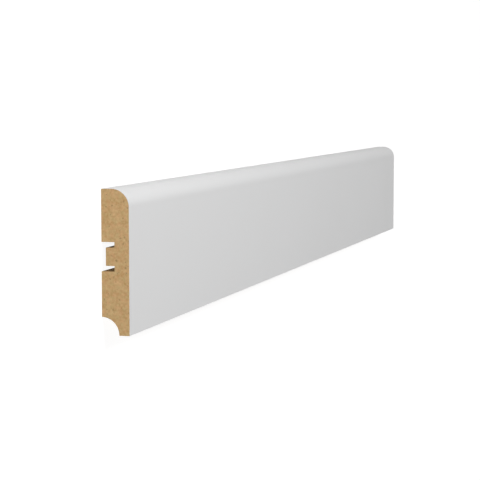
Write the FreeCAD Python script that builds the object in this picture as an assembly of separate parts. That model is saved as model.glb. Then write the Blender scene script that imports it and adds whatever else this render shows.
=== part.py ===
# A length of foil-wrapped MDF skirting board, lying on its back with the finished face up.
# Frame: X along the board, Y from the foot edge to the rounded top edge, Z out of the finished face.
# The origin is under the middle of the board, on the plane of its back. All sizes are in millimetres.
import FreeCAD
import Part
import math
import os

# The finished board
LENGTH = 750.0
BOARD_HEIGHT = 80.0
THICKNESS = 16.0
TOP_RADIUS = 10.0

# The white foil over the face, the rounded edge and the top edge
FOIL_THICKNESS = 0.2
FOIL_TRIM_FROM_BACK = 0.3

# The cable cove along the back of the foot, a quarter round on the back corner
COVE_RADIUS = 10.0

# The clip channel in the back: a tongue set in from the back, with a groove on each side of it
TONGUE_CENTRE_HEIGHT = 43.0
TONGUE_WIDTH = 10.0
TONGUE_SET_BACK = 2.5
GROOVE_WIDTH = 3.0
GROOVE_DEPTH = 7.5

# Heights above the foot become Y, with the middle of the board's height at Y = 0
FOOT_Y = -BOARD_HEIGHT / 2
TOP_Y = BOARD_HEIGHT / 2

# The core is what the foil leaves of the finished section
CORE_TOP_Y = TOP_Y - FOIL_THICKNESS
CORE_FACE_Z = THICKNESS - FOIL_THICKNESS
CORE_RADIUS = TOP_RADIUS - FOIL_THICKNESS

# The round edge is drawn about one centre in both pieces, so the foil lies on the core all along
ROUND_CENTRE_Y = TOP_Y - TOP_RADIUS
ROUND_CENTRE_Z = THICKNESS - TOP_RADIUS


def point(y, z):
    """A point of the section, in the plane of the left end."""
    return FreeCAD.Vector(-LENGTH / 2, y, z)


def straight(start, end):
    return Part.makeLine(point(*start), point(*end))


def arc_about(centre, radius, from_deg, to_deg):
    """An arc of the section. Angles are measured from +Y towards +Z."""
    def on_arc(angle_deg):
        angle = math.radians(angle_deg)
        return point(centre[0] + radius * math.cos(angle), centre[1] + radius * math.sin(angle))

    return Part.Arc(on_arc(from_deg), on_arc((from_deg + to_deg) / 2), on_arc(to_deg)).toShape()


def run_along_board(edges):
    """A closed section, given as its edges in order, drawn out to the board's length."""
    face = Part.Face(Part.Wire(edges))
    return face.extrude(FreeCAD.Vector(LENGTH, 0, 0))


def polyline(corners):
    return [straight(a, b) for a, b in zip(corners, corners[1:])]


def clip_channel_corners():
    """The channel's outline in the back, from its upper mouth to its lower one."""
    centre_y = FOOT_Y + TONGUE_CENTRE_HEIGHT
    tongue_upper_y = centre_y + TONGUE_WIDTH / 2
    tongue_lower_y = centre_y - TONGUE_WIDTH / 2
    mouth_upper_y = tongue_upper_y + GROOVE_WIDTH
    mouth_lower_y = tongue_lower_y - GROOVE_WIDTH
    return [
        (mouth_upper_y, 0),
        (mouth_upper_y, GROOVE_DEPTH),
        (tongue_upper_y, GROOVE_DEPTH),
        (tongue_upper_y, TONGUE_SET_BACK),
        (tongue_lower_y, TONGUE_SET_BACK),
        (tongue_lower_y, GROOVE_DEPTH),
        (mouth_lower_y, GROOVE_DEPTH),
        (mouth_lower_y, 0),
    ]


def make_mdf_core():
    """The moulded MDF board: rounded front top edge, clip channel in the back, cove behind the foot."""
    round_edge = arc_about((ROUND_CENTRE_Y, ROUND_CENTRE_Z), CORE_RADIUS, 90, 0)
    cove = arc_about((FOOT_Y, 0), COVE_RADIUS, 0, 90)
    foot_and_face = polyline([
        (FOOT_Y, COVE_RADIUS),
        (FOOT_Y, CORE_FACE_Z),
        (ROUND_CENTRE_Y, CORE_FACE_Z),
    ])
    top_and_back = polyline(
        [(CORE_TOP_Y, ROUND_CENTRE_Z), (CORE_TOP_Y, 0)]
        + clip_channel_corners()
        + [(FOOT_Y + COVE_RADIUS, 0)]
    )
    return run_along_board(foot_and_face + [round_edge] + top_and_back + [cove])


def make_white_foil():
    """One strip of foil, bonded from the foot over the face and the rounded edge to the top's back."""
    outer_round = arc_about((ROUND_CENTRE_Y, ROUND_CENTRE_Z), TOP_RADIUS, 90, 0)
    inner_round = arc_about((ROUND_CENTRE_Y, ROUND_CENTRE_Z), CORE_RADIUS, 0, 90)
    trimmed_z = FOIL_TRIM_FROM_BACK
    foot_edge_and_face = polyline([
        (FOOT_Y, CORE_FACE_Z),
        (FOOT_Y, THICKNESS),
        (ROUND_CENTRE_Y, THICKNESS),
    ])
    top = polyline([
        (TOP_Y, ROUND_CENTRE_Z),
        (TOP_Y, trimmed_z),
        (CORE_TOP_Y, trimmed_z),
        (CORE_TOP_Y, ROUND_CENTRE_Z),
    ])
    glued_face = polyline([(ROUND_CENTRE_Y, CORE_FACE_Z), (FOOT_Y, CORE_FACE_Z)])
    return run_along_board(foot_edge_and_face + [outer_round] + top + [inner_round] + glued_face)


def main():
    os.makedirs("parts", exist_ok=True)
    pieces = {
        "mdf_core": make_mdf_core(),
        "white_foil": make_white_foil(),
    }
    for name, shape in pieces.items():
        shape.exportStep(f"parts/{name}.step")
        box = shape.BoundBox
        print(
            f"{name}: valid {shape.isValid()}, volume {shape.Volume / 1000:.1f} cm3,"
            f" {box.XLength:.1f} x {box.YLength:.1f} x {box.ZLength:.1f} mm"
        )


main()
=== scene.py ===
# A length of foil-wrapped MDF skirting board, lying on its back on a white floor.
# Metres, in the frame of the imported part: X along the board, Y from its foot edge to its rounded
# top edge, Z out of its finished face. The floor is the plane of the board's back.
import math

import bpy
from mathutils import Matrix, Vector


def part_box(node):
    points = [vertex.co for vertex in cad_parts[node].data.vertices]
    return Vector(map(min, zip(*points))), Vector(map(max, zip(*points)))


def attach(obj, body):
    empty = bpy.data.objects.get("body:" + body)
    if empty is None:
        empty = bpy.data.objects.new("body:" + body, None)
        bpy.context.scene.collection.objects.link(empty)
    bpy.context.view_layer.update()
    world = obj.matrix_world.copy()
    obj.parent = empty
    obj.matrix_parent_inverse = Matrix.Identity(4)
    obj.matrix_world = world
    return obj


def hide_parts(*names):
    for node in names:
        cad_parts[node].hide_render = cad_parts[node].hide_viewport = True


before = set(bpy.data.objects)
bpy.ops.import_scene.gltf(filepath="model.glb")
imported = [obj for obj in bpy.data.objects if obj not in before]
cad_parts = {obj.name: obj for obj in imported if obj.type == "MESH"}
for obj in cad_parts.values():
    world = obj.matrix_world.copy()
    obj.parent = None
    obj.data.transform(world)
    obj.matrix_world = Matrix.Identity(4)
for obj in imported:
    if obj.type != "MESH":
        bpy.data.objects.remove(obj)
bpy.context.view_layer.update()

MM = 0.001

# The board's outside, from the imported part
CORE_LOW, CORE_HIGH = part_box("mdf_core")
FOIL_LOW, FOIL_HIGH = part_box("white_foil")
LEFT_X, RIGHT_X = CORE_LOW.x, CORE_HIGH.x
LENGTH = RIGHT_X - LEFT_X
FOOT_Y = CORE_LOW.y
BACK_Z = CORE_LOW.z
CORE_TOP_Y, CORE_FACE_Z = CORE_HIGH.y, CORE_HIGH.z
TOP_Y, FACE_Z = FOIL_HIGH.y, FOIL_HIGH.z
FOIL_THICKNESS = FACE_Z - CORE_FACE_Z
FOIL_TRIM_Z = FOIL_LOW.z

# The moulded section
TOP_RADIUS = 10 * MM
COVE_RADIUS = 10 * MM
TONGUE_CENTRE_Y = FOOT_Y + 43 * MM
TONGUE_WIDTH = 10 * MM
TONGUE_SET_BACK = 2.5 * MM
GROOVE_WIDTH = 3 * MM
GROOVE_DEPTH = 7.5 * MM
ROUND_CENTRE = (TOP_Y - TOP_RADIUS, FACE_Z - TOP_RADIUS)
QUARTER_TURN = math.radians(90)
QUARTER_STEPS = 40

# The cutters and the saw leave the corners eased by this much
CORE_EASING = 0.06 * MM
FOIL_EASING = 0.04 * MM
# A corner that turns by more than this is eased, and shows as a corner
SHARP_FROM = math.radians(30)
# Points nearer to each other than this are one
SAME_WITHIN = 0.004 * MM


# Modelling by hand: a strip along the board is drawn round its section, edge by edge


def deselect_all():
    bpy.ops.object.select_all(action="DESELECT")


def add_strip(name, start, end):
    """A flat strip along the board between two lines of the section, its last edge selected."""
    deselect_all()
    middle = ((start[0] + end[0]) / 2, (start[1] + end[1]) / 2)
    bpy.ops.mesh.primitive_plane_add(size=1, location=((LEFT_X + RIGHT_X) / 2, *middle))
    strip = bpy.context.active_object
    strip.name = strip.data.name = name
    strip.scale = (LENGTH, end[0] - start[0], 1)
    bpy.ops.object.transform_apply(location=True, rotation=True, scale=True)
    for vertex in strip.data.vertices:
        vertex.select = abs(vertex.co.y - end[0]) < SAME_WITHIN
    for edge in strip.data.edges:
        edge.select = all(strip.data.vertices[v].select for v in edge.vertices)
    for face in strip.data.polygons:
        face.select = False
    bpy.ops.object.mode_set(mode="EDIT")
    bpy.ops.mesh.select_mode(type="EDGE")
    return strip


def draw_on(places):
    """Extrudes the strip's last edge through places of the section, each a (y, z)."""
    for (from_y, from_z), (to_y, to_z) in zip(places, places[1:]):
        bpy.ops.mesh.extrude_region_move(
            TRANSFORM_OT_translate={"value": (0, to_y - from_y, to_z - from_z)}
        )


def sweep_on(centre, angle):
    """Spins the strip's last edge about a line along the board. Above 0, angle is from Y to Z."""
    bpy.ops.mesh.spin(
        steps=QUARTER_STEPS, angle=-angle, center=(0, *centre), axis=(1, 0, 0)
    )


def close_strip():
    """Joins the last edge to the first and caps both ends."""
    bpy.ops.mesh.select_all(action="SELECT")
    bpy.ops.mesh.remove_doubles(threshold=SAME_WITHIN)
    bpy.ops.mesh.select_all(action="DESELECT")
    bpy.ops.mesh.select_non_manifold(extend=False, use_boundary=True)
    bpy.ops.mesh.edge_face_add()
    bpy.ops.mesh.select_all(action="SELECT")
    bpy.ops.mesh.normals_make_consistent(inside=False)
    bpy.ops.object.mode_set(mode="OBJECT")


def make_mdf_core():
    tongue_upper = TONGUE_CENTRE_Y + TONGUE_WIDTH / 2
    tongue_lower = TONGUE_CENTRE_Y - TONGUE_WIDTH / 2
    mouth_upper = tongue_upper + GROOVE_WIDTH
    mouth_lower = tongue_lower - GROOVE_WIDTH
    groove_z = BACK_Z + GROOVE_DEPTH
    tongue_z = BACK_Z + TONGUE_SET_BACK
    core = add_strip("mdf_board", (FOOT_Y, CORE_FACE_Z), (ROUND_CENTRE[0], CORE_FACE_Z))
    sweep_on(ROUND_CENTRE, -QUARTER_TURN)
    draw_on([
        (CORE_TOP_Y, ROUND_CENTRE[1]),
        (CORE_TOP_Y, BACK_Z),
        (mouth_upper, BACK_Z),
        (mouth_upper, groove_z),
        (tongue_upper, groove_z),
        (tongue_upper, tongue_z),
        (tongue_lower, tongue_z),
        (tongue_lower, groove_z),
        (mouth_lower, groove_z),
        (mouth_lower, BACK_Z),
        (FOOT_Y + COVE_RADIUS, BACK_Z),
    ])
    sweep_on((FOOT_Y, BACK_Z), QUARTER_TURN)
    draw_on([(FOOT_Y, BACK_Z + COVE_RADIUS), (FOOT_Y, CORE_FACE_Z)])
    close_strip()
    return core


def make_white_foil():
    foil = add_strip("white_wrap", (FOOT_Y, FACE_Z), (ROUND_CENTRE[0], FACE_Z))
    sweep_on(ROUND_CENTRE, -QUARTER_TURN)
    draw_on([(TOP_Y, ROUND_CENTRE[1]), (TOP_Y, FOIL_TRIM_Z)])
    bpy.ops.mesh.select_all(action="SELECT")
    bpy.ops.mesh.remove_doubles(threshold=SAME_WITHIN)
    bpy.ops.object.mode_set(mode="OBJECT")
    finish_with(
        foil, "SOLIDIFY", thickness=FOIL_THICKNESS, offset=-1, use_even_offset=True
    )
    return foil


def finish_with(piece, kind, **settings):
    """Adds one modifier to a piece and applies it."""
    deselect_all()
    piece.select_set(True)
    bpy.context.view_layer.objects.active = piece
    modifier = piece.modifiers.new(kind.lower(), kind)
    for name, value in settings.items():
        setattr(modifier, name, value)
    bpy.ops.object.modifier_apply(modifier=modifier.name)


def ease_corners(piece, width):
    finish_with(
        piece, "BEVEL", width=width, segments=2, limit_method="ANGLE", angle_limit=SHARP_FROM
    )
    bpy.ops.object.shade_smooth_by_angle(angle=SHARP_FROM)
    finish_with(piece, "WEIGHTED_NORMAL", keep_sharp=True)


# Shader maths

# The colour sockets of a Mix node, by their places
MIX_FIRST, MIX_SECOND, MIX_RESULT = 6, 7, 2


class Value:
    """A number that varies over a surface. Arithmetic on it adds the Math node that does it."""

    def __init__(self, finish, socket):
        self.finish = finish
        self.socket = socket

    def maths(self, operation, *operands):
        settings = {"operation": operation}
        return self.finish.add("ShaderNodeMath", settings, dict(enumerate(operands)))

    def __add__(self, other):
        return self.maths("ADD", self, other)

    def __sub__(self, other):
        return self.maths("SUBTRACT", self, other)

    def __rsub__(self, other):
        return self.maths("SUBTRACT", other, self)

    def __mul__(self, other):
        return self.maths("MULTIPLY", self, other)

    def __gt__(self, other):
        return self.maths("GREATER_THAN", self, other)

    def __lt__(self, other):
        return self.maths("LESS_THAN", self, other)

    def __or__(self, other):
        """The larger of the two: for masks, 1 where either is 1."""
        return self.maths("MAXIMUM", self, other)

    def __abs__(self):
        return self.maths("ABSOLUTE", self)

    __radd__ = __add__
    __rmul__ = __mul__

    def sibling(self, name):
        """Another output of the node that this value comes from."""
        return Value(self.finish, self.socket.node.outputs[name])


class Finish:
    """A material being made."""

    def __init__(self, tree):
        self.tree = tree
        self.tree.nodes.clear()

    def add(self, kind, settings={}, sockets={}, out=0):
        """One node of any kind: its settings first, then the values or links of its sockets."""
        node = self.tree.nodes.new(kind)
        for name, value in settings.items():
            setattr(node, name, value)
        for key, value in sockets.items():
            if isinstance(value, Value):
                self.tree.links.new(value.socket, node.inputs[key])
            else:
                node.inputs[key].default_value = value
        return Value(self, node.outputs[out]) if node.outputs else None

    def place(self):
        return self.add("ShaderNodeTexCoord", out="Object")

    def mapped(self, place, scale=(1.0, 1.0, 1.0), shift=(0.0, 0.0, 0.0)):
        sockets = {"Vector": place, "Scale": scale, "Location": shift}
        return self.add("ShaderNodeMapping", sockets=sockets)

    def noise(self, place, grain, detail=2.0, roughness=0.5):
        """Noise about 0, with lumps about as wide as grain."""
        sockets = {"Vector": place, "Scale": 1 / grain, "Detail": detail, "Roughness": roughness}
        return self.add("ShaderNodeTexNoise", sockets=sockets) - 0.5

    def mix(self, share, first, second):
        """first where share is 0, second where it is 1, as colours."""
        sockets = {"Factor": share, MIX_FIRST: first, MIX_SECOND: second}
        return self.add("ShaderNodeMix", {"data_type": "RGBA"}, sockets, MIX_RESULT)

    def step(self, value, start, end):
        """0 at start and before it, 1 at end and past it, smooth in between."""
        sockets = {"Value": value, "From Min": start, "From Max": end}
        return self.add("ShaderNodeMapRange", {"interpolation_type": "SMOOTHSTEP"}, sockets)

    def bump(self, height, depth):
        sockets = {"Height": height, "Distance": depth, "Strength": 1.0}
        return self.add("ShaderNodeBump", sockets=sockets)

    def sawn(self, place):
        """1 on the board's two sawn ends, 0 elsewhere."""
        return abs(self.add("ShaderNodeSeparateXYZ", sockets={0: place})) > SAWN_FROM


def new_material(name, make):
    """A material whose nodes are added by make, which returns the shader for its surface."""
    material = bpy.data.materials.new(name)
    material.use_nodes = True
    finish = Finish(material.node_tree)
    finish.add("ShaderNodeOutputMaterial", sockets={"Surface": make(finish)})
    return material


def rgb(red, green, blue):
    return (red, green, blue, 1.0)


# The finishes

# How deep a sawn end's finish goes in, and how far from the board's middle that starts
SAWN_SKIN = 0.01 * MM
SAWN_FROM = LENGTH / 2 - SAWN_SKIN

# Raw fibreboard: pale and dark lumps, drifting between a yellow and a pink brown
MDF_DARK_YELLOW, MDF_LIGHT_YELLOW = rgb(0.400, 0.265, 0.110), rgb(0.560, 0.416, 0.215)
MDF_DARK_PINK, MDF_LIGHT_PINK = rgb(0.433, 0.247, 0.105), rgb(0.603, 0.388, 0.205)
MDF_GRAIN, MDF_MOTTLE, MDF_DRIFT = 1.3 * MM, 5.0 * MM, 2.4 * MM
GRAIN_STRENGTH, MOTTLE_STRENGTH, DRIFT_STRENGTH = 1.6, 0.75, 3.0
# The drift is read off to one side, where its lumps aren't those of the grain
DRIFT_SHIFT = (LENGTH, 0, 0)
# Fibres lie flat in the board: four times as long that way as through its thickness
FIBRE_WIDTH, FIBRE_STRETCH = 0.3 * MM, (0.25, 0.25, 1.0)
FIBRE_STRENGTH = 0.75
# Some cells of a grid hold one ragged dark speck each, sized in cells
MDF_SPECK = rgb(0.275, 0.193, 0.092)
SPECK_SPACING = 2.7 * MM
SPECK_CORE, SPECK_EDGE = 0.06, 0.24
SPECK_RAGGEDNESS = 0.6
SPECKED_SHARE = 0.45
SPECK_STRENGTH = 0.75
# Knives leave the moulded faces less mottled than the saw leaves the ends, and streak them
MOULDED_CONTRAST = 0.55
STREAK_WIDTH, STREAK_STRETCH = 0.7 * MM, (0.01, 1.0, 1.0)
STREAK_STRENGTH = 0.5
MDF_RELIEF = 0.03 * MM
MDF_ROUGHNESS, MDF_SPECULAR = 0.85, 0.1


def raw_mdf(finish):
    place = finish.place()
    grain = finish.noise(place, MDF_GRAIN, detail=3.0, roughness=0.55)
    mottle = finish.noise(place, MDF_MOTTLE)
    lying = finish.mapped(place, FIBRE_STRETCH)
    fibre = finish.noise(lying, FIBRE_WIDTH, roughness=0.7)
    shifted = finish.mapped(place, shift=DRIFT_SHIFT)
    drift = finish.noise(shifted, MDF_DRIFT, detail=3.0, roughness=0.6)
    streak = finish.noise(finish.mapped(place, STREAK_STRETCH), STREAK_WIDTH)
    sawn = finish.sawn(place)
    contrast = MOULDED_CONTRAST + (1.0 - MOULDED_CONTRAST) * sawn
    lumps = GRAIN_STRENGTH * grain + FIBRE_STRENGTH * fibre + MOTTLE_STRENGTH * mottle
    tone = 0.5 + contrast * lumps + STREAK_STRENGTH * (1.0 - sawn) * streak
    yellow = finish.mix(tone, MDF_DARK_YELLOW, MDF_LIGHT_YELLOW)
    pink = finish.mix(tone, MDF_DARK_PINK, MDF_LIGHT_PINK)
    brown = finish.mix(0.5 + DRIFT_STRENGTH * drift, yellow, pink)
    grid = {"Vector": place, "Scale": 1 / SPECK_SPACING}
    from_centre = finish.add("ShaderNodeTexVoronoi", sockets=grid)
    chance = finish.add("ShaderNodeSeparateColor", sockets={0: from_centre.sibling("Color")})
    ragged = from_centre + SPECK_RAGGEDNESS * grain
    speck = finish.step(ragged, SPECK_EDGE, SPECK_CORE) * (chance < SPECKED_SHARE)
    return finish.add(
        "ShaderNodeBsdfPrincipled",
        sockets={
            "Base Color": finish.mix(SPECK_STRENGTH * speck, brown, MDF_SPECK),
            "Roughness": MDF_ROUGHNESS,
            "Specular IOR Level": MDF_SPECULAR,
            "Normal": finish.bump(grain + fibre, MDF_RELIEF),
        },
    )


# The foil is even and satin, with the faint pebbling that rollers leave
FOIL_WHITE, FOIL_PALER = rgb(0.795, 0.797, 0.800), rgb(0.805, 0.805, 0.805)
FOIL_CLOUD, FOIL_PEBBLE = 40 * MM, 1.2 * MM
FOIL_ROUGHNESS, FOIL_ROUGHNESS_SPREAD = 0.45, 0.12
FOIL_SPECULAR = 0.25
FOIL_RELIEF = 0.004 * MM
# Sawing leaves brown dust on the foil's thin cut edge
FOIL_DUST = rgb(0.56, 0.43, 0.28)


def satin_white_foil(finish):
    place = finish.place()
    cloud = finish.noise(place, FOIL_CLOUD)
    pebble = finish.noise(place, FOIL_PEBBLE)
    white = finish.mix(0.5 + cloud + pebble, FOIL_WHITE, FOIL_PALER)
    dust = finish.sawn(place) * (1.0 + pebble)
    return finish.add(
        "ShaderNodeBsdfPrincipled",
        sockets={
            "Base Color": finish.mix(dust, white, FOIL_DUST),
            "Roughness": FOIL_ROUGHNESS + FOIL_ROUGHNESS_SPREAD * (cloud + pebble),
            "Specular IOR Level": FOIL_SPECULAR,
            "Normal": finish.bump(pebble, FOIL_RELIEF),
        },
    )


def dress(piece, node, material):
    piece.data.materials.clear()
    piece.data.materials.append(material)
    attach(piece, "root")
    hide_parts(node)


core = make_mdf_core()
ease_corners(core, CORE_EASING)
dress(core, "mdf_core", new_material("raw_mdf", raw_mdf))
foil = make_white_foil()
ease_corners(foil, FOIL_EASING)
dress(foil, "white_foil", new_material("satin_white_foil", satin_white_foil))


# The white floor and the even light round it

FLOOR_SIZE = 20.0
# What the floor sends back to the board
FLOOR_PAPER = rgb(0.5, 0.5, 0.5)
# What the camera sees of it: a glow just short of white, and lamp light that makes up the rest
FLOOR_GLOW = 0.93
FLOOR_SHADE = rgb(0.20, 0.20, 0.20)
# Shadows show up to the first distance from the board's middle, and are gone at the second
SHADOWS_TO, WHITE_FROM = 0.6, 1.4
BACKGROUND_WHITE = rgb(1.0, 1.0, 1.0)
AMBIENT = 0.05


def seen_directly(finish):
    """1 for rays from the camera, from gloss and through glass, 0 for those that carry light."""
    camera = finish.add("ShaderNodeLightPath", out="Is Camera Ray")
    return camera | camera.sibling("Is Glossy Ray") | camera.sibling("Is Transmission Ray")


def white_glow(finish, strength):
    sockets = {"Color": BACKGROUND_WHITE, "Strength": strength}
    return finish.add("ShaderNodeEmission", sockets=sockets)


def white_floor(finish):
    """A white floor that carries light as paper does, and shows as white with a faint shadow."""
    paper = finish.add("ShaderNodeBsdfDiffuse", sockets={"Color": FLOOR_PAPER})
    shade = finish.add("ShaderNodeBsdfDiffuse", sockets={"Color": FLOOR_SHADE})
    near = finish.add("ShaderNodeAddShader", sockets={0: shade, 1: white_glow(finish, FLOOR_GLOW)})
    far = white_glow(finish, 1.0)
    length = {"operation": "LENGTH"}
    distance = finish.add("ShaderNodeVectorMath", length, {0: finish.place()}, "Value")
    farness = finish.step(distance, SHADOWS_TO, WHITE_FROM)
    seen = finish.add("ShaderNodeMixShader", sockets={0: farness, 1: near, 2: far})
    return finish.add("ShaderNodeMixShader", sockets={0: seen_directly(finish), 1: paper, 2: seen})


def make_floor():
    deselect_all()
    bpy.ops.mesh.primitive_plane_add(size=FLOOR_SIZE, location=(0, 0, BACK_Z))
    floor = bpy.context.active_object
    floor.name = "floor"
    floor.data.materials.append(new_material("white_floor", white_floor))


def make_world():
    """White to the camera and to gloss, and a plain even light to everything else."""
    world = bpy.data.worlds.new("studio")
    bpy.context.scene.world = world
    world.use_nodes = True
    finish = Finish(world.node_tree)
    strength = AMBIENT + (1.0 - AMBIENT) * seen_directly(finish)
    sockets = {"Color": BACKGROUND_WHITE, "Strength": strength}
    sky = finish.add("ShaderNodeBackground", sockets=sockets)
    finish.add("ShaderNodeOutputWorld", sockets={"Surface": sky})


# The lamps and the camera


def aim(thing, place, target):
    thing.location = place
    thing.rotation_euler = (Vector(target) - Vector(place)).to_track_quat("-Z", "Y").to_euler()


def add_softbox(name, place, target, width, watts, shows_in_gloss=True):
    light = bpy.data.lights.new(name, "AREA")
    light.shape = "DISK"
    light.size = width
    light.energy = watts
    lamp = bpy.data.objects.new(name, light)
    bpy.context.scene.collection.objects.link(lamp)
    aim(lamp, place, target)
    lamp.visible_camera = False
    lamp.visible_glossy = shows_in_gloss


def light_the_board():
    """Two large lamps over the face, and three low ones that fill the ends and the foot edge."""
    add_softbox("key_softbox", (-0.65, 0.75, 1.1), (-0.2, 0, 0), width=0.5, watts=11.5)
    add_softbox("far_softbox", (0.6, 0.6, 1.2), (0.1, 0, 0), width=0.5, watts=4.1)
    add_softbox(
        "near_end_softbox", (-1.6, 0.2, 0.2), (-0.375, 0, 0), width=0.3, watts=9.9,
        shows_in_gloss=False,
    )
    add_softbox(
        "far_end_softbox", (1.4, -0.6, 0.07), (0.3, 0, 0.008), width=0.13, watts=10.8,
        shows_in_gloss=False,
    )
    add_softbox(
        "foot_softbox", (-0.4, -1.2, 0.06), (-0.1, 0, 0.008), width=0.11, watts=6.4,
        shows_in_gloss=False,
    )


# The camera looks along the board, over its near left end, as in the photograph
PHOTO_SIDE_PX = 480
FOCAL_LENGTH_PX = 1636.1
SENSOR_MM = 36.0
CAMERA_PLACE = Vector((-1202.4, 90.2, 320.1)) * MM
CAMERA_YAW = math.radians(16.287)
CAMERA_PITCH = math.radians(5.056)
CAMERA_ROLL = math.radians(0.042)
CAMERA_SEES_FROM, CAMERA_SEES_TO = 0.01, 100.0


def add_camera():
    data = bpy.data.cameras.new("camera")
    data.sensor_width = SENSOR_MM
    data.lens = SENSOR_MM * FOCAL_LENGTH_PX / PHOTO_SIDE_PX
    data.clip_start = CAMERA_SEES_FROM
    data.clip_end = CAMERA_SEES_TO
    camera = bpy.data.objects.new("camera", data)
    bpy.context.scene.collection.objects.link(camera)
    forward = Vector((
        math.cos(CAMERA_PITCH) * math.cos(CAMERA_YAW),
        -math.sin(CAMERA_PITCH),
        -math.cos(CAMERA_PITCH) * math.sin(CAMERA_YAW),
    ))
    right = forward.cross(Vector((0, 1, 0))).normalized()
    up = right.cross(forward)
    turned = Matrix((right, up, -forward)).transposed()
    roll = Matrix.Rotation(-CAMERA_ROLL, 3, "Z")
    camera.matrix_world = Matrix.Translation(CAMERA_PLACE) @ (turned @ roll).to_4x4()
    bpy.context.scene.camera = camera


make_floor()
make_world()
light_the_board()
add_camera()
bpy.context.scene.view_settings.view_transform = "Standard"
